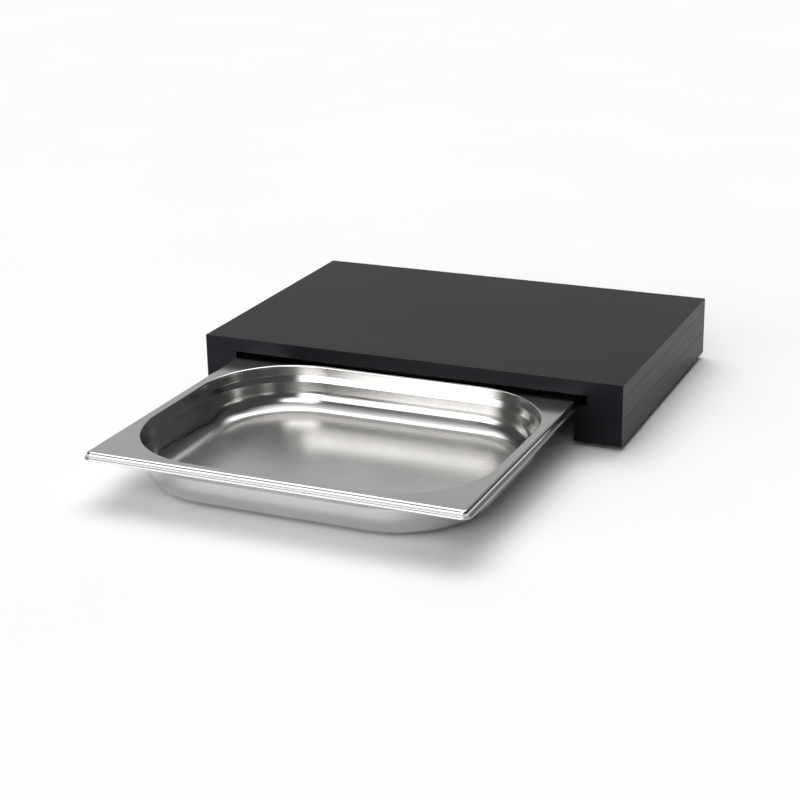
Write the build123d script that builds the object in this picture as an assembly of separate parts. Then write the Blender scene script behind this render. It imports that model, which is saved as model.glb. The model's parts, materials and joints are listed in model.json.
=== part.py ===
from build123d import *
import math
import os

# Low board block, three layers high, with a gastronorm 1/2 pan that slides in under its top board.
# Millimetres. X runs to the right, Y to the back, Z up. The origin is on the table, under the
# middle of the whole object as it stands with the pan pulled out.

# Block: a top board on two side rails and a rear rail, each rail in two layers.
block_width = 392.0
block_depth = 266.0
top_thickness = 12.5
runner_thickness = 19.5
base_thickness = 22.0
rail_width = 42.0
rear_rail_depth = 16.0
edge_break = 0.2

# Slot for the pan's flange, a stopped rebate in the two runner rails.
slot_width = 331.0
slot_height = 9.4
slot_end_radius = 6.0

# Pan: gastronorm 1/2, 40 mm deep, pressed from one sheet.
pan_width = 325.0
pan_length = 265.0
pan_depth = 40.0
sheet = 0.8
pan_reach = 254.5
pan_side_play = 2.5

# Pan rim: a flat flange, turned down, out in a narrow lip, and down again.
rim_height = 6.0
lip_drop = 4.6
lip_width = 2.2
lip_corner = 8.0
flange_corner = 4.8
flange_bend = 2.8
lip_bend = 0.9
lip_root_bend = 0.6

# Pan basin: an upright upper wall, a sloping stacking shoulder, and a drafted lower wall.
basin_width = 300.8
basin_length = 240.8
basin_corner = 80.0
mouth_bend = 1.7
upper_wall = 9.0
shoulder_height = 5.5
shoulder_slope = 19.0
shoulder_bend = 2.0
wall_draft = 5.0
floor_bend = 18.0

# Feet.
foot_diameter = 26.0
foot_height = 5.0
foot_edge = 0.8
foot_recess_diameter = 13.0
foot_recess_depth = 3.0
foot_inset_x = 21.0
foot_inset_y = 24.0

# Washer and pan-head screw of a foot.
washer_diameter = 12.0
washer_thickness = 1.0
foot_screw_diameter = 4.0
foot_screw_head = 8.0
foot_screw_head_height = 1.4
foot_screw_head_round = 0.6
foot_screw_reach = 13.0
foot_screw_slot_length = 4.0
foot_screw_slot_width = 0.9
foot_screw_slot_depth = 0.8

# Frame screws: countersunk M5 x 50 from below, each into a threaded insert in the top board.
screw_diameter = 5.0
screw_length = 50.0
screw_head = 10.0
screw_head_height = 2.8
screw_recess = 0.4
screw_socket = 3.0
screw_socket_depth = 2.0
screw_inset_x = 15.0
screw_inset_y = 56.0
rear_screw_x = 75.0
insert_diameter = 8.0
insert_length = 9.0

# Dowel pins that line the layers up.
dowel_diameter = 6.0
dowel_length = 20.0
dowel_break = 0.4
dowel_top_depth = 8.0
dowel_inset_y = 12.0
rear_dowel_x = 115.0

# Gap round a pin, screw or insert in its hole, and the spare depth past its end.
hole_gap = 0.05
hole_spare = 0.5

# How far a cutting solid runs past the face that it opens.
overcut = 1.0

# Closeness at which two heights or places count as the same.
tolerance = 0.01

# Places worked out from the sizes above.
front_y = (pan_reach - block_depth) / 2
back_y = front_y + block_depth
middle_y = (front_y + back_y) / 2
side_x = block_width / 2
channel_x = side_x - rail_width
base_z = foot_height
runner_z = base_z + base_thickness
top_z = runner_z + runner_thickness
block_z = top_z + top_thickness
ledge_z = top_z - slot_height
stop_y = back_y - rear_rail_depth
rear_rail_y = (stop_y + back_y) / 2
screw_x = side_x - screw_inset_x
pan_center_y = front_y - pan_reach + pan_length / 2
flange_z = ledge_z + rim_height

sides = (("left", -1), ("right", 1))
side_screw_ys = (front_y + screw_inset_y, middle_y, back_y - screw_inset_y)
side_dowel_ys = (front_y + dowel_inset_y, back_y - dowel_inset_y)
rear_screw_places = [(x, rear_rail_y) for x in (-rear_screw_x, rear_screw_x)]
rear_dowel_places = [(x, rear_rail_y) for x in (-rear_dowel_x, rear_dowel_x)]


def side_screw_places(side):
    return [(side * screw_x, y) for y in side_screw_ys]


def side_dowel_places(side):
    return [(side * screw_x, y) for y in side_dowel_ys]


def shifted_dowel(place):
    """Upper dowels stand beside the lower ones, so that no two meet inside a runner rail."""
    x, y = place
    if y == rear_rail_y:
        return (x - 2 * dowel_diameter, y)
    toward_middle = 1 if y < middle_y else -1
    return (x, y + toward_middle * 2 * dowel_diameter)


def foot_place(side, y):
    return (side * (side_x - foot_inset_x), y)


foot_ys = (("front", front_y + foot_inset_y), ("rear", back_y - foot_inset_y))
foot_places = [foot_place(side, y) for _, side in sides for _, y in foot_ys]


def cylinder_between(place, diameter, low, high):
    """Upright cylinder at an (x, y) place, from one height to another."""
    x, y = place
    return Pos(x, y, (low + high) / 2) * Cylinder(diameter / 2, high - low)


def board(x0, x1, y0, y1, z0, z1):
    """Rectangular board between two corners, with its edges just broken."""
    blank = Box(x1 - x0, y1 - y0, z1 - z0)
    blank = chamfer(blank.edges(), edge_break)
    return Pos((x0 + x1) / 2, (y0 + y1) / 2, (z0 + z1) / 2) * blank


def without(body, cutters):
    """Body with each cutter taken out of it."""
    for cutter in cutters:
        body = body - cutter
    return body


def screw_hole(place, low, high):
    return cylinder_between(place, screw_diameter + 2 * hole_gap, low, high)


def countersink(place):
    """Recess in the underside for a frame screw's head."""
    x, y = place
    head_top = base_z + screw_recess
    straight = cylinder_between(place, screw_head + 2 * hole_gap, base_z - overcut, head_top)
    cone = Cone(screw_head / 2 + hole_gap, screw_diameter / 2 + hole_gap, screw_head_height)
    return straight + Pos(x, y, head_top + screw_head_height / 2) * cone


def insert_hole(place):
    depth = insert_length + hole_spare
    return cylinder_between(place, insert_diameter + 2 * hole_gap, top_z - overcut, top_z + depth)


def dowel_hole(place, joint_z, below, above):
    return cylinder_between(
        place, dowel_diameter + 2 * hole_gap, joint_z - below, joint_z + above
    )


def base_dowel_hole(place):
    reach = dowel_length / 2 + hole_spare
    return dowel_hole(place, runner_z, reach, reach)


def top_dowel_hole(place):
    below = dowel_length - dowel_top_depth + hole_spare
    return dowel_hole(place, top_z, below, dowel_top_depth + hole_spare)


def foot_pilot_hole(place):
    reach = foot_screw_reach + hole_spare
    diameter = foot_screw_diameter + 2 * hole_gap
    return cylinder_between(place, diameter, base_z - overcut, base_z + reach)


def make_top_board():
    blank = board(-side_x, side_x, front_y, back_y, top_z, block_z)
    screws = rear_screw_places + side_screw_places(-1) + side_screw_places(1)
    dowels = rear_dowel_places + side_dowel_places(-1) + side_dowel_places(1)
    dowels = [shifted_dowel(place) for place in dowels]
    cutters = [insert_hole(place) for place in screws]
    cutters += [top_dowel_hole(place) for place in dowels]
    return without(blank, cutters)


def slot_cutter(side):
    """Rebate for one end of the pan's flange, open at the front and rounded at its rear end."""
    x0 = channel_x - overcut
    x1 = slot_width / 2
    y0 = front_y - overcut
    y1 = stop_y
    height = slot_height + overcut
    cutter = Pos((x0 + x1) / 2, (y0 + y1) / 2, ledge_z + height / 2) * Box(
        x1 - x0, y1 - y0, height
    )
    corner = [
        edge
        for edge in cutter.edges().filter_by(Axis.Z)
        if edge.center().X > x1 - tolerance and edge.center().Y > y1 - tolerance
    ]
    cutter = fillet(corner, slot_end_radius)
    return cutter if side > 0 else mirror(cutter, Plane.YZ)


def side_rail(side, z0, z1):
    x0, x1 = sorted((side * channel_x, side * side_x))
    return board(x0, x1, front_y, back_y, z0, z1)


def make_runner_rail(side):
    screws = side_screw_places(side)
    dowels = side_dowel_places(side)
    cutters = [slot_cutter(side)]
    cutters += [screw_hole(place, runner_z - overcut, top_z + overcut) for place in screws]
    cutters += [base_dowel_hole(place) for place in dowels]
    cutters += [top_dowel_hole(shifted_dowel(place)) for place in dowels]
    return without(side_rail(side, runner_z, top_z), cutters)


def make_base_rail(side):
    screws = side_screw_places(side)
    cutters = [screw_hole(place, base_z - overcut, runner_z + overcut) for place in screws]
    cutters += [countersink(place) for place in screws]
    cutters += [base_dowel_hole(place) for place in side_dowel_places(side)]
    cutters += [foot_pilot_hole(foot_place(side, y)) for _, y in foot_ys]
    return without(side_rail(side, base_z, runner_z), cutters)


def make_runner_rail_rear():
    blank = board(-channel_x, channel_x, stop_y, back_y, runner_z, top_z)
    cutters = [screw_hole(place, runner_z - overcut, top_z + overcut) for place in rear_screw_places]
    cutters += [base_dowel_hole(place) for place in rear_dowel_places]
    cutters += [top_dowel_hole(shifted_dowel(place)) for place in rear_dowel_places]
    return without(blank, cutters)


def make_base_rail_rear():
    blank = board(-channel_x, channel_x, stop_y, back_y, base_z, runner_z)
    cutters = [screw_hole(place, base_z - overcut, runner_z + overcut) for place in rear_screw_places]
    cutters += [countersink(place) for place in rear_screw_places]
    cutters += [base_dowel_hole(place) for place in rear_dowel_places]
    return without(blank, cutters)


def make_frame_screw(place):
    """Countersunk socket screw, head down."""
    x, y = place
    head_z = base_z + screw_recess
    shank = cylinder_between(place, screw_diameter, head_z, head_z + screw_length)
    head = Pos(x, y, head_z + screw_head_height / 2) * Cone(
        screw_head / 2, screw_diameter / 2, screw_head_height
    )
    socket_radius = screw_socket / 2 / math.cos(math.pi / 6)
    socket = Pos(x, y, head_z) * extrude(
        RegularPolygon(socket_radius, 6), screw_socket_depth
    )
    return shank + head - socket


def make_insert(place):
    """Threaded sleeve with a shallow flange at the board's underside."""
    outer = cylinder_between(place, insert_diameter, top_z, top_z + insert_length)
    bore = cylinder_between(
        place, screw_diameter + 2 * hole_gap, top_z - overcut, top_z + insert_length + overcut
    )
    return outer - bore


def make_dowel(place, bottom):
    """Plain steel pin with broken ends."""
    pin = cylinder_between(place, dowel_diameter, bottom, bottom + dowel_length)
    return chamfer(pin.edges().filter_by(GeomType.CIRCLE), dowel_break)


def make_dowels(places):
    lower = [make_dowel(place, runner_z - dowel_length / 2) for place in places]
    upper_bottom = top_z + dowel_top_depth - dowel_length
    upper = [make_dowel(shifted_dowel(place), upper_bottom) for place in places]
    return lower + upper


def make_foot(place):
    """Round rubber foot with a recess below for its washer and screw."""
    body = cylinder_between(place, foot_diameter, 0, foot_height)
    rims = body.edges().filter_by(GeomType.CIRCLE)
    body = fillet(rims.sort_by(Axis.Z)[0], foot_edge)
    recess = cylinder_between(place, foot_recess_diameter, -overcut, foot_recess_depth)
    hole = cylinder_between(
        place, foot_screw_diameter + 2 * hole_gap, 0, foot_height + overcut
    )
    return body - recess - hole


def make_washer(place):
    low = foot_recess_depth - washer_thickness
    disc = cylinder_between(place, washer_diameter, low, foot_recess_depth)
    hole = cylinder_between(place, foot_screw_diameter + 2 * hole_gap, 0, foot_height)
    return disc - hole


def make_foot_screw(place):
    """Pan-head screw with a cross recess, up through foot and washer into the base rail."""
    x, y = place
    head_top = foot_recess_depth - washer_thickness
    head_low = head_top - foot_screw_head_height
    head = cylinder_between(place, foot_screw_head, head_low, head_top)
    rims = head.edges().filter_by(GeomType.CIRCLE)
    head = fillet(rims.sort_by(Axis.Z)[0], foot_screw_head_round)
    shank = cylinder_between(
        place, foot_screw_diameter, head_top, base_z + foot_screw_reach
    )
    size = (foot_screw_slot_length, foot_screw_slot_width, 2 * foot_screw_slot_depth)
    slot = Pos(x, y, head_low) * Box(*size)
    cross_slot = Pos(x, y, head_low) * Rot(0, 0, 90) * Box(*size)
    return head + shank - slot - cross_slot


def rounded_block(width, length, corner, low, high):
    """Upright block with a rounded rectangular outline."""
    face = Pos(0, 0, low) * RectangleRounded(width, length, corner)
    return extrude(face, high - low)


def level_edges(body, height, width=math.inf, length=math.inf):
    """Edges that lie flat at one height, within a rectangle about the middle."""
    level = []
    for edge in body.edges():
        box = edge.bounding_box()
        if abs(box.min.Z - height) > tolerance or abs(box.max.Z - height) > tolerance:
            continue
        center = edge.center()
        if abs(center.X) < width / 2 + tolerance and abs(center.Y) < length / 2 + tolerance:
            level.append(edge)
    return level


def make_rim_form(inset):
    """Solid form of the rim's outside, or of its inside at one sheet thickness inset."""
    top = -inset
    low = -rim_height - (overcut if inset else 0)
    width = pan_width - 2 * (lip_width + inset)
    length = pan_length - 2 * (lip_width + inset)
    flange = rounded_block(width, length, flange_corner - inset, low, top)
    lip_top = -lip_drop - inset
    lip = rounded_block(
        pan_width - 2 * inset, pan_length - 2 * inset, lip_corner - inset, low, lip_top
    )
    flange = fillet(level_edges(flange, top), flange_bend - inset)
    lip = fillet(level_edges(lip, lip_top), lip_bend - inset)
    form = flange + lip
    root = level_edges(form, lip_top, width, length)
    return fillet(root, lip_root_bend + inset)


def tapered_block(outset, z0, z1, taper):
    """Tapered stretch of the basin from height z0 down to z1, with its outset from the mouth."""
    width = basin_width + 2 * outset
    length = basin_length + 2 * outset
    face = Pos(0, 0, z0) * RectangleRounded(width, length, basin_corner + outset)
    return extrude(face, z1 - z0, taper=taper)


def make_basin_form(outset, top):
    """Solid form of the basin's inside, or of its outside at one sheet thickness outset."""
    slope = math.radians(shoulder_slope)
    draft = math.radians(wall_draft)
    shoulder_z = -upper_wall - outset * math.tan(slope / 2)
    root_z = -upper_wall - shoulder_height - outset * math.tan((slope + draft) / 2)
    root_outset = outset - (shoulder_z - root_z) * math.tan(slope)
    floor_z = -pan_depth + sheet - outset
    upper = rounded_block(
        basin_width + 2 * outset,
        basin_length + 2 * outset,
        basin_corner + outset,
        shoulder_z,
        top,
    )
    shoulder = tapered_block(outset, shoulder_z, root_z, shoulder_slope)
    lower = tapered_block(root_outset, root_z, floor_z, wall_draft)
    lower = fillet(level_edges(lower, floor_z), floor_bend + outset)
    form = upper + shoulder + lower
    form = fillet(level_edges(form, shoulder_z), shoulder_bend + outset)
    return fillet(level_edges(form, root_z), shoulder_bend - outset)


def make_pan():
    """The whole pressed pan, in its own frame: flange top at zero, basin below."""
    rim = make_rim_form(0) - make_rim_form(sheet)
    pan = rim + make_basin_form(sheet, -sheet / 2) - make_basin_form(0, overcut)
    pan = fillet(level_edges(pan, 0, basin_width, basin_length), mouth_bend)
    width = basin_width + 2 * sheet
    length = basin_length + 2 * sheet
    return fillet(level_edges(pan, -sheet, width, length), mouth_bend - sheet)


def write(name, *solids):
    body = solids[0] if len(solids) == 1 else Compound(children=list(solids))
    export_step(body, f"parts/{name}.step")


def main():
    os.makedirs("parts", exist_ok=True)
    write("top_board", make_top_board())
    for name, side in sides:
        write(f"runner_rail_{name}", make_runner_rail(side))
        write(f"base_rail_{name}", make_base_rail(side))
        write(f"frame_screws_{name}", *map(make_frame_screw, side_screw_places(side)))
        write(f"threaded_inserts_{name}", *map(make_insert, side_screw_places(side)))
        write(f"dowel_pins_{name}", *make_dowels(side_dowel_places(side)))
        for end, y in foot_ys:
            write(f"foot_{end}_{name}", make_foot(foot_place(side, y)))
    write("runner_rail_rear", make_runner_rail_rear())
    write("base_rail_rear", make_base_rail_rear())
    write("frame_screws_rear", *map(make_frame_screw, rear_screw_places))
    write("threaded_inserts_rear", *map(make_insert, rear_screw_places))
    write("dowel_pins_rear", *make_dowels(rear_dowel_places))
    write("foot_washers", *map(make_washer, foot_places))
    write("foot_screws", *map(make_foot_screw, foot_places))
    write("gn_pan", Pos(-pan_side_play, pan_center_y, flange_z) * make_pan())


main()
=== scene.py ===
import json
import math

import bpy
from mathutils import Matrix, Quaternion, Vector, noise


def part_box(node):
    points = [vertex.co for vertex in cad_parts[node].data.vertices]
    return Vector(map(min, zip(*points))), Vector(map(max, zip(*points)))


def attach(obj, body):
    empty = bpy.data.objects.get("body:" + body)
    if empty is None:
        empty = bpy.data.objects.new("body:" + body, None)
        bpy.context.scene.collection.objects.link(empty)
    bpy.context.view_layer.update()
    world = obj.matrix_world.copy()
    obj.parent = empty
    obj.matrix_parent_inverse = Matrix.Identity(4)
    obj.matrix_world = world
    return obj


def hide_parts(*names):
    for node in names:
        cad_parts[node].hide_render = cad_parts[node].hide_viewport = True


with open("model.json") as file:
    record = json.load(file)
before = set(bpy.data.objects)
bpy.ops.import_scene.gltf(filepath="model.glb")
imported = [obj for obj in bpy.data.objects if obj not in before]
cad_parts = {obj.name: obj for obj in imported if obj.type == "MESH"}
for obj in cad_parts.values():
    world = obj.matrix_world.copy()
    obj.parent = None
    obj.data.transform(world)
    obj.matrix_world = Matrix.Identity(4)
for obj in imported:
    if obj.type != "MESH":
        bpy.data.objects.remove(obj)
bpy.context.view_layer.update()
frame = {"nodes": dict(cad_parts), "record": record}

mm = 0.001

# Places read from the frame.
block_low, block_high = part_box("top_board")
pan_low, pan_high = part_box("gn_pan")
front_y = block_low.y
pan_center = (pan_low + pan_high) / 2

# Pan sizes that the box doesn't give. They are those of the CAD part.
sheet = 0.8 * mm
lip_half_x = (pan_high.x - pan_low.x) / 2
lip_half_y = (pan_high.y - pan_low.y) / 2
pan_depth = pan_high.z - pan_low.z
lip_corner = 8.0 * mm
flange_corner = 4.8 * mm
lip_width = 2.2 * mm
lip_drop = 4.6 * mm
rim_height = 6.0 * mm
flange_bend = 2.8 * mm
lip_root_bend = 0.6 * mm
lip_bend = 0.9 * mm
basin_half_x = 150.4 * mm
basin_half_y = 120.4 * mm
basin_corner = 80.0 * mm
mouth_bend = 1.7 * mm
upper_wall = 9.0 * mm
shoulder_height = 5.5 * mm
shoulder_slope = math.radians(19.0)
shoulder_bend = 2.0 * mm
wall_draft = math.radians(5.0)
floor_bend = 18.0 * mm
edge_round = 0.15 * mm

# Unevenness of the pressed sheet: a crown on the floor, and ripples that grow from rim to floor.
floor_crown = 0.35 * mm
ripple_at_rim = 0.05 * mm
ripple_gain = 0.11 * mm
ripple_scale = 13.0
ripple_offset = 4.0

# Studio panels: brightness, then where each one starts, is full from and to, and ends, in degrees.
# Turn is the compass direction seen from the object: 0 behind it, 90 to its right, 180 in front.
room_level = 0.07
studio_panels = {
    "overhead": {"level": 3.9, "turn": (-110, -55, 0, 50), "height": (42, 54, 60, 88)},
    "front_left": {"level": 3.3, "turn": (-196, -182, -138, -124), "height": (-10, 0, 22, 34)},
    "front_core": {"level": 1.5, "turn": (-180, -162, -158, -140), "height": (8, 18, 22, 30)},
    "front_high": {"level": 4.4, "turn": (-220, -202, -172, -154), "height": (30, 40, 46, 58)},
    "back_high": {"level": 1.0, "turn": (-70, -40, -25, 10), "height": (28, 38, 44, 56)},
    "backdrop": {"level": 0.47, "turn": (-75, -50, 0, 25), "height": (-10, 0, 24, 36)},
    "left_high": {"level": 0.6, "turn": (-180, -122, -118, -60), "height": (38, 54, 58, 90)},
    "ceiling": {"level": 1.8, "turn": (-181, -180, 180, 181), "height": (56, 88, 90, 91)},
}

# Mesh fineness of the pan, and how close a supporting ring stands to each end of a long stretch.
corner_steps = 32
side_steps = 14
small_bend_steps = 7
floor_bend_steps = 14
floor_rings = 14
flange_shares = (0.25, 0.5, 0.75)
support = 0.35 * mm
long_stretch = 4 * support

# Studio floor: half its width, and the number of squares along a side.
floor_half = 14.0
floor_squares = 28

# Camera: turn to the object's right, height and roll in degrees, then lens, aim and distance.
camera_turn = 23.99
camera_height = 20.01
camera_roll = -1.06
camera_lens = 79.82
camera_sensor = 36.0
camera_aim = Vector((5.5 * mm, front_y - 23.1 * mm, 30.0 * mm))
camera_distance = 1518.8 * mm


# ---------------------------------------------------------------- node helpers

def new_material(name):
    material = bpy.data.materials.new(name)
    material.use_nodes = True
    nodes = material.node_tree.nodes
    nodes.clear()
    output = nodes.new("ShaderNodeOutputMaterial")
    shader = nodes.new("ShaderNodeBsdfPrincipled")
    material.node_tree.links.new(shader.outputs["BSDF"], output.inputs["Surface"])
    return material, shader


def add_node(tree, kind, inputs=None, **settings):
    """New node with its settings; inputs maps a socket to a value or to another node's output."""
    node = tree.nodes.new(kind)
    for name, value in settings.items():
        setattr(node, name, value)
    for name, value in (inputs or {}).items():
        if isinstance(value, bpy.types.NodeSocket):
            tree.links.new(value, node.inputs[name])
        else:
            node.inputs[name].default_value = value
    return node


def object_point(tree, scale=(1.0, 1.0, 1.0)):
    """Position on the piece in metres, stretched by a scale."""
    coordinates = add_node(tree, "ShaderNodeTexCoord")
    mapping = add_node(
        tree, "ShaderNodeMapping", {"Vector": coordinates.outputs["Object"], "Scale": scale}
    )
    return mapping.outputs["Vector"]


def noise_value(tree, point, scale, detail=2.0):
    node = add_node(
        tree, "ShaderNodeTexNoise", {"Vector": point, "Scale": scale, "Detail": detail}
    )
    return node.outputs["Fac"]


def remap(tree, value, low, high, from_low=0.3, from_high=0.7):
    """Value moved from one range to another and held there; the default is a noise's usual range."""
    node = add_node(
        tree,
        "ShaderNodeMapRange",
        {
            "Value": value,
            "From Min": from_low,
            "From Max": from_high,
            "To Min": low,
            "To Max": high,
        },
    )
    return node.outputs["Result"]


def color_ramp(tree, value, stops):
    node = add_node(tree, "ShaderNodeValToRGB", {"Fac": value})
    ramp = node.color_ramp
    while len(ramp.elements) < len(stops):
        ramp.elements.new(0.5)
    for element, (place, color) in zip(ramp.elements, stops):
        element.position = place
        element.color = (*color, 1.0)
    return node.outputs["Color"]


def mix_color(tree, factor, first, second):
    node = add_node(tree, "ShaderNodeMix", data_type="RGBA")
    tree.links.new(factor, node.inputs["Factor"])
    colors = [socket for socket in node.inputs if socket.type == "RGBA"]
    for socket, value in zip(colors, (first, second)):
        tree.links.new(value, socket)
    return next(socket for socket in node.outputs if socket.type == "RGBA")


def mix_value(tree, factor, first, second):
    node = add_node(tree, "ShaderNodeMix", {"Factor": factor, "A": first, "B": second})
    return node.outputs["Result"]


def math_node(tree, operation, *values):
    node = add_node(tree, "ShaderNodeMath", dict(enumerate(values)), operation=operation)
    return node.outputs["Value"]


def bump(tree, shader, height, distance):
    node = add_node(
        tree, "ShaderNodeBump", {"Height": height, "Distance": distance, "Strength": 0.5}
    )
    tree.links.new(node.outputs["Normal"], shader.inputs["Normal"])


# ---------------------------------------------------------------- materials

def board_material():
    """Matt black compact board: stippled faces, and milled edges with fine streaks along them, the
    edges' colour holding painted shade and a painted bluish reflection.
    """
    material, shader = new_material("black_board")
    tree = material.node_tree
    geometry = add_node(tree, "ShaderNodeNewGeometry")
    normal = add_node(tree, "ShaderNodeSeparateXYZ", {"Vector": geometry.outputs["True Normal"]})
    upright = math_node(tree, "ABSOLUTE", normal.outputs["Z"])
    least_upright = 0.8
    is_face = math_node(tree, "GREATER_THAN", upright, least_upright)
    point = object_point(tree)
    along_edge = (6.0, 6.0, 900.0)
    cloud = noise_value(tree, point, 9.0, 3.0)
    grain = noise_value(tree, point, 1400.0, 2.0)
    streaks = noise_value(tree, object_point(tree, along_edge), 3.0, 3.0)
    face_color = color_ramp(
        tree, cloud, ((0.3, (0.0026, 0.0030, 0.0042)), (0.7, (0.0038, 0.0043, 0.0058)))
    )
    # Edges' colour: darker than the faces as painted shade, deepest on the front and legs, and bluer as
    # a painted reflection. Only the streaks are the milling's own.
    painted_shade_edge_color = color_ramp(
        tree, streaks, ((0.3, (0.0014, 0.0018, 0.0026)), (0.7, (0.0030, 0.0036, 0.0052)))
    )
    color = mix_color(tree, is_face, painted_shade_edge_color, face_color)
    tree.links.new(color, shader.inputs["Base Color"])
    face_rough = remap(tree, cloud, 0.40, 0.46)
    edge_rough = remap(tree, streaks, 0.34, 0.42)
    rough = mix_value(tree, is_face, edge_rough, face_rough)
    tree.links.new(rough, shader.inputs["Roughness"])
    bump(tree, shader, mix_value(tree, is_face, streaks, grain), 0.03 * mm)
    shader.inputs["Specular IOR Level"].default_value = 0.2
    shader.inputs["Specular Tint"].default_value = (0.88, 0.93, 1.0, 1.0)
    return material


def steel_material():
    """Pressed stainless steel: a satin floor, brighter walls and rim, soft clouds and fine brushing."""
    material, shader = new_material("satin_steel")
    tree = material.node_tree
    point = object_point(tree)
    cloud = noise_value(tree, point, 14.0, 3.0)
    grain = noise_value(tree, point, 2600.0, 1.0)
    across_brush = (1.0, 60.0, 60.0)
    brush = noise_value(tree, object_point(tree, across_brush), 30.0)
    color = color_ramp(
        tree, cloud, ((0.3, (0.595, 0.587, 0.574)), (0.7, (0.640, 0.632, 0.618)))
    )
    tree.links.new(color, shader.inputs["Base Color"])
    place = add_node(tree, "ShaderNodeSeparateXYZ", {"Vector": point})
    low_rough, high_rough = 0.34, 0.16
    low_level, high_level = 2 * mm, 6 * mm
    unevenness = 0.015
    rough = remap(tree, place.outputs["Z"], low_rough, high_rough, low_level, high_level)
    for pattern in (cloud, brush):
        change = remap(tree, pattern, -unevenness, unevenness)
        rough = math_node(tree, "ADD", rough, change)
    tree.links.new(rough, shader.inputs["Roughness"])
    shader.inputs["Metallic"].default_value = 1.0
    grain_share = 0.4
    texture = math_node(tree, "ADD", math_node(tree, "MULTIPLY", grain, grain_share), brush)
    bump(tree, shader, texture, 0.0015 * mm)
    return material


def rubber_material():
    """Dull black rubber, lightly dusted."""
    material, shader = new_material("foot_rubber")
    tree = material.node_tree
    point = object_point(tree)
    dust = noise_value(tree, point, 220.0, 3.0)
    color = color_ramp(
        tree, dust, ((0.35, (0.012, 0.012, 0.012)), (0.75, (0.030, 0.030, 0.029)))
    )
    tree.links.new(color, shader.inputs["Base Color"])
    tree.links.new(remap(tree, dust, 0.75, 0.9), shader.inputs["Roughness"])
    bump(tree, shader, noise_value(tree, point, 900.0), 0.05 * mm)
    return material


def turned_material(name, dark, light, cloud_scale, detail, rough, ring_scale):
    """Turned metal: fine rings of the lathe's tool and small clouds of colour and sheen."""
    material, shader = new_material(name)
    tree = material.node_tree
    cloud = noise_value(tree, object_point(tree), cloud_scale, detail)
    color = color_ramp(tree, cloud, ((0.3, dark), (0.7, light)))
    tree.links.new(color, shader.inputs["Base Color"])
    tree.links.new(remap(tree, cloud, *rough), shader.inputs["Roughness"])
    shader.inputs["Metallic"].default_value = 1.0
    along_axis = (1, 1, 8)
    rings = noise_value(tree, object_point(tree, along_axis), ring_scale)
    bump(tree, shader, rings, 0.02 * mm)
    return material


def fastener_material():
    dark, light = (0.45, 0.45, 0.46), (0.58, 0.58, 0.59)
    return turned_material("fastener_steel", dark, light, 160.0, 2.0, (0.25, 0.4), 700.0)


def brass_material():
    dark, light = (0.52, 0.36, 0.16), (0.68, 0.50, 0.25)
    return turned_material("insert_brass", dark, light, 240.0, 3.0, (0.3, 0.45), 900.0)


def floor_material():
    """Pale seamless studio paper."""
    material, shader = new_material("studio_floor")
    tree = material.node_tree
    point = object_point(tree)
    cloud = noise_value(tree, point, 3.0, 2.0)
    color = color_ramp(
        tree, cloud, ((0.3, (0.895, 0.888, 0.905)), (0.7, (0.915, 0.908, 0.925)))
    )
    tree.links.new(color, shader.inputs["Base Color"])
    shader.inputs["Roughness"].default_value = 0.7
    shader.inputs["Specular IOR Level"].default_value = 0.2
    return material


# ---------------------------------------------------------------- pan

def arc(center, radius, start, end, steps):
    """Points of a bend in the sheet's section, from one angle to another, in degrees."""
    points = []
    for step in range(steps + 1):
        angle = math.radians(start + (end - start) * step / steps)
        points.append(
            (center[0] + radius * math.cos(angle), center[1] + radius * math.sin(angle))
        )
    return points


def basin_section(under):
    """Section of one side of the sheet from the floor's edge to the mouth: (outward, up) points.

    Outward is measured from the upper wall's inner face, up from the flange's top.
    under is 0 for the upper side of the sheet and its thickness for the lower side."""
    floor_z = -pan_depth + sheet
    across = 1 / math.cos(wall_draft)
    root_z = -upper_wall - shoulder_height
    root_out = -shoulder_height * math.tan(shoulder_slope)
    bend_z = floor_z + floor_bend
    bend_out = root_out - (root_z - bend_z) * math.tan(wall_draft) - floor_bend * across
    draft = math.degrees(wall_draft)
    tilt = math.degrees(shoulder_slope)
    below = shoulder_bend * math.tan((shoulder_slope + wall_draft) / 2)
    root = (root_out + shoulder_bend * across - below * math.tan(wall_draft), root_z - below)
    top = (-shoulder_bend, -upper_wall + shoulder_bend * math.tan(shoulder_slope / 2))
    points = arc((bend_out, bend_z), floor_bend + under, -90, -draft, floor_bend_steps)
    points += arc(root, shoulder_bend - under, 180 - draft, 180 - tilt, small_bend_steps)
    points += arc(top, shoulder_bend + under, -tilt, 0, small_bend_steps)
    points += arc((mouth_bend, -mouth_bend), mouth_bend - under, 180, 90, small_bend_steps)
    return points


def rim_section(under):
    """Section of one side of the sheet from the flange's edge down to the rim's cut edge.

    Outward is measured from the lip's outermost face, up from the flange's top."""
    points = arc(
        (-lip_width - flange_bend, -flange_bend), flange_bend - under, 90, 0, small_bend_steps
    )
    root = (-lip_width + lip_root_bend, -lip_drop + lip_root_bend)
    points += arc(root, lip_root_bend + under, 180, 270, small_bend_steps)
    points += arc((-lip_bend, -lip_drop - lip_bend), lip_bend - under, 90, 0, small_bend_steps)
    return points


def with_support(points):
    """The same section with a point added near both ends of each long straight stretch."""
    result = [points[0]]
    for (out0, up0), (out1, up1) in zip(points, points[1:]):
        length = math.hypot(out1 - out0, up1 - up0)
        if length > long_stretch:
            for share in (support / length, 1 - support / length):
                result.append((out0 + (out1 - out0) * share, up0 + (up1 - up0) * share))
        result.append((out1, up1))
    return result


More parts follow.
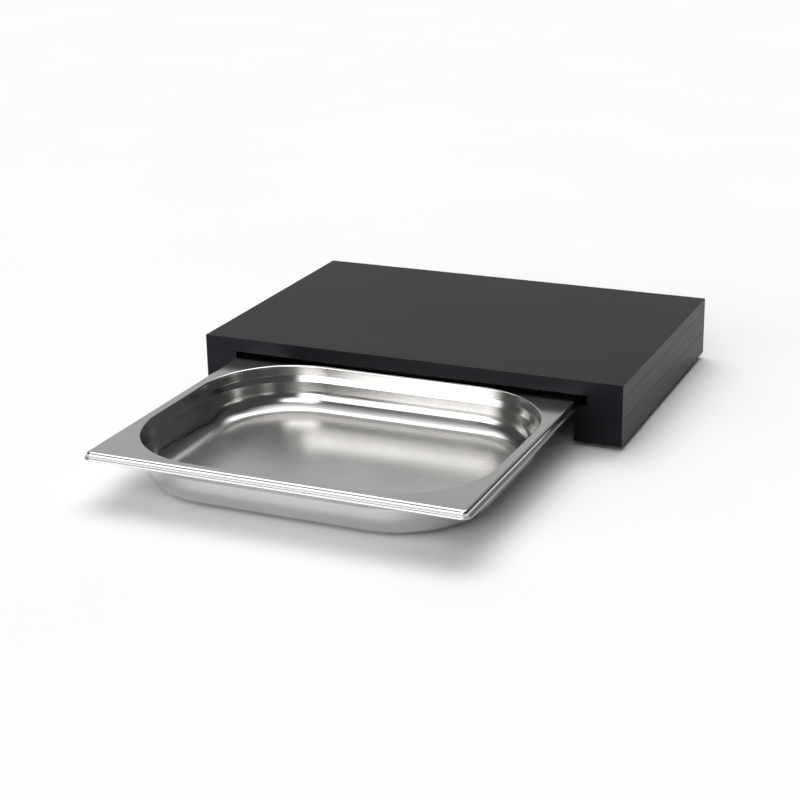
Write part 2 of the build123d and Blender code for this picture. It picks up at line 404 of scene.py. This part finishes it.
def rounded_ring(half_x, half_y, corner, up):
    """Closed ring of points on a rounded rectangle, the same number of points at any size."""
    corners = ((1, 1, 0), (-1, 1, 90), (-1, -1, 180), (1, -1, 270))
    arcs = []
    for sign_x, sign_y, start in corners:
        center = (sign_x * (half_x - corner), sign_y * (half_y - corner))
        arcs.append(arc(center, corner, start, start + 90, corner_steps))
    ring = []
    for number, points in enumerate(arcs):
        ring += points
        out0, up0 = points[-1]
        out1, up1 = arcs[(number + 1) % 4][0]
        for step in range(1, side_steps):
            share = step / side_steps
            ring.append((out0 + (out1 - out0) * share, up0 + (up1 - up0) * share))
    return [Vector((x, y, up)) for x, y in ring]


def basin_ring(outward, up):
    return rounded_ring(basin_half_x + outward, basin_half_y + outward, basin_corner + outward, up)


def rim_ring(outward, up):
    """Ring of the rim: its corner grows from the flange's radius to the lip's across the lip."""
    share = min(1.0, max(0.0, 1 + outward / lip_width))
    corner = flange_corner + (lip_corner - flange_corner) * share
    corner += outward - lip_width * (share - 1)
    return rounded_ring(lip_half_x + outward, lip_half_y + outward, corner, up)


def floor_rings_inward(edge_ring):
    """Rings from near the middle of the floor out to the start of its bend, slightly crowned."""
    last_gap = 0.35
    rings = []
    for number in range(1, floor_rings + 1):
        share = number / (floor_rings + last_gap)
        crown = floor_crown * (1 - share**2) ** 2
        rings.append([Vector((p.x * share, p.y * share, p.z + crown)) for p in edge_ring])
    near_edge = 1 - support / basin_half_y
    rings.append([Vector((p.x * near_edge, p.y * near_edge, p.z)) for p in edge_ring])
    return rings


def flange_rings(inner, outer):
    """Rings across the flat flange, close to its two bends and evenly between."""
    width = lip_half_x - basin_half_x
    shares = (support / width, *flange_shares, 1 - support / width)
    return [[a.lerp(b, share) for a, b in zip(inner, outer)] for share in shares]


def sheet_rings(under):
    """All rings of one side of the sheet, from the floor's middle to the rim's edge."""
    basin = [basin_ring(*point) for point in with_support(basin_section(under))]
    section = rim_section(under)
    section.append((section[-1][0], -rim_height + edge_round))
    rim = [rim_ring(*point) for point in with_support(section)]
    return floor_rings_inward(basin[0]) + basin + flange_rings(basin[-1], rim[0]) + rim


def ripple(point):
    """Small unevenness of the pressed sheet: strongest on the floor, least at the rim."""
    depth = min(1.0, max(0.0, -point.z / pan_depth))
    reach = ripple_at_rim + ripple_gain * depth
    return noise.noise(point * ripple_scale + Vector((0, 0, ripple_offset))) * reach


def build_pan(material):
    """Pressed pan as one closed sheet: upper side, rim edge and lower side.

    It is all in quads but for a fan of triangles in the middle of the floor, on each side."""
    upper = sheet_rings(0.0)
    lower = sheet_rings(sheet)
    low = -rim_height
    edge = [rim_ring(-edge_round, low), rim_ring(edge_round - sheet, low)]
    rings = upper + edge + lower[::-1]
    count = len(rings[0])
    vertices = []
    for ring in rings:
        for point in ring:
            vertices.append(point + Vector((0, 0, ripple(point))))
    faces = []
    for level in range(len(rings) - 1):
        for step in range(count):
            after = (step + 1) % count
            faces.append(
                (
                    level * count + step,
                    level * count + after,
                    (level + 1) * count + after,
                    (level + 1) * count + step,
                )
            )
    for level, flip in ((0, False), (len(rings) - 1, True)):
        middle = len(vertices)
        ring = vertices[level * count:(level + 1) * count]
        vertices.append(sum(ring, Vector()) / count)
        for step in range(count):
            after = (step + 1) % count
            face = (middle, level * count + step, level * count + after)
            faces.append(face if flip else face[::-1])
    shift = settle(vertices)
    mesh = bpy.data.meshes.new("pressed_pan")
    mesh.from_pydata([v + shift for v in vertices], [], faces)
    mesh.update()
    mesh.shade_smooth()
    mesh.materials.append(material)
    pan = bpy.data.objects.new("pressed_pan", mesh)
    bpy.context.scene.collection.objects.link(pan)
    return pan


def settle(vertices):
    """Shift that puts the pan in its frame's box, after flattening any ripple that would pass it."""
    highest = max(v.z for v in vertices)
    for vertex in vertices:
        vertex.z = max(vertex.z, highest - pan_depth)
    return Vector((pan_center.x, pan_center.y, pan_high.z - highest))


# ---------------------------------------------------------------- stage

def build_floor(material):
    """Flat floor on the table's height, in squares."""
    side = floor_squares + 1
    places = [-floor_half + 2 * floor_half * step / floor_squares for step in range(side)]
    vertices = [(x, y, 0.0) for y in places for x in places]
    faces = []
    for row in range(floor_squares):
        for column in range(floor_squares):
            corner = row * side + column
            faces.append((corner, corner + 1, corner + side + 1, corner + side))
    mesh = bpy.data.meshes.new("studio_floor")
    mesh.from_pydata(vertices, [], faces)
    mesh.materials.append(material)
    floor = bpy.data.objects.new("studio_floor", mesh)
    bpy.context.scene.collection.objects.link(floor)


def faded(tree, value, start, full_from, full_to, end):
    """1 between the two middle limits, fading to 0 at the outer ones."""
    rise = remap(tree, value, 0.0, 1.0, start, full_from)
    fall = remap(tree, value, 1.0, 0.0, full_to, end)
    return math_node(tree, "MULTIPLY", rise, fall)


def panel_light(tree, turn, height, panel):
    """Brightness that one studio panel gives to a direction."""
    middle = (panel["turn"][0] + panel["turn"][3]) / 2
    limits = [limit - middle for limit in panel["turn"]]
    offset = math_node(tree, "WRAP", math_node(tree, "SUBTRACT", turn, middle), 180.0, -180.0)
    across = faded(tree, offset, *limits)
    upward = faded(tree, height, *panel["height"])
    shape = math_node(tree, "MULTIPLY", across, upward)
    return math_node(tree, "MULTIPLY", shape, panel["level"])


def build_world():
    """Dim room with a few large soft panels, as the steel and the boards mirror them."""
    world = bpy.data.worlds.new("studio")
    bpy.context.scene.world = world
    world.use_nodes = True
    tree = world.node_tree
    coordinates = add_node(tree, "ShaderNodeTexCoord")
    direction = add_node(
        tree, "ShaderNodeSeparateXYZ", {"Vector": coordinates.outputs["Generated"]}
    )
    turn = math_node(tree, "ARCTAN2", direction.outputs["X"], direction.outputs["Y"])
    turn = math_node(tree, "DEGREES", turn)
    height = math_node(tree, "DEGREES", math_node(tree, "ARCSINE", direction.outputs["Z"]))
    total = room_level
    for panel in studio_panels.values():
        total = math_node(tree, "ADD", panel_light(tree, turn, height, panel), total)
    background = tree.nodes["Background"]
    background.inputs["Color"].default_value = (1.0, 1.0, 1.0, 1.0)
    tree.links.new(total, background.inputs["Strength"])


def build_camera():
    """Camera at the height and side from which the object is usually seen."""
    turn, height = math.radians(camera_turn), math.radians(camera_height)
    back = Vector(
        (math.sin(turn) * math.cos(height), -math.cos(turn) * math.cos(height), math.sin(height))
    )
    data = bpy.data.cameras.new("camera")
    data.sensor_width = camera_sensor
    data.lens = camera_lens
    camera = bpy.data.objects.new("camera", data)
    camera.location = camera_aim + back * camera_distance
    camera.rotation_mode = "QUATERNION"
    level_view = (-back).to_track_quat("-Z", "Y")
    camera.rotation_quaternion = level_view @ Quaternion((0, 0, 1), math.radians(camera_roll))
    bpy.context.scene.collection.objects.link(camera)
    bpy.context.scene.camera = camera


# ---------------------------------------------------------------- build

def dress_cad_nodes():
    """Give every CAD node but the pan the material of its slot."""
    by_slot = {
        "board_black": board_material(),
        "foot_rubber": rubber_material(),
        "fastener_steel": fastener_material(),
        "insert_brass": brass_material(),
    }
    for part in frame["record"]["subparts"]:
        material = by_slot.get(part["material_slot"])
        if material:
            node = frame["nodes"][part["node"]]
            node.data.materials.clear()
            node.data.materials.append(material)


build_camera()
build_floor(floor_material())
build_world()
dress_cad_nodes()

pan = build_pan(steel_material())
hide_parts("gn_pan")
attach(pan, "pan")

bpy.context.scene.view_settings.view_transform = "Standard"
bpy.context.view_layer.update()
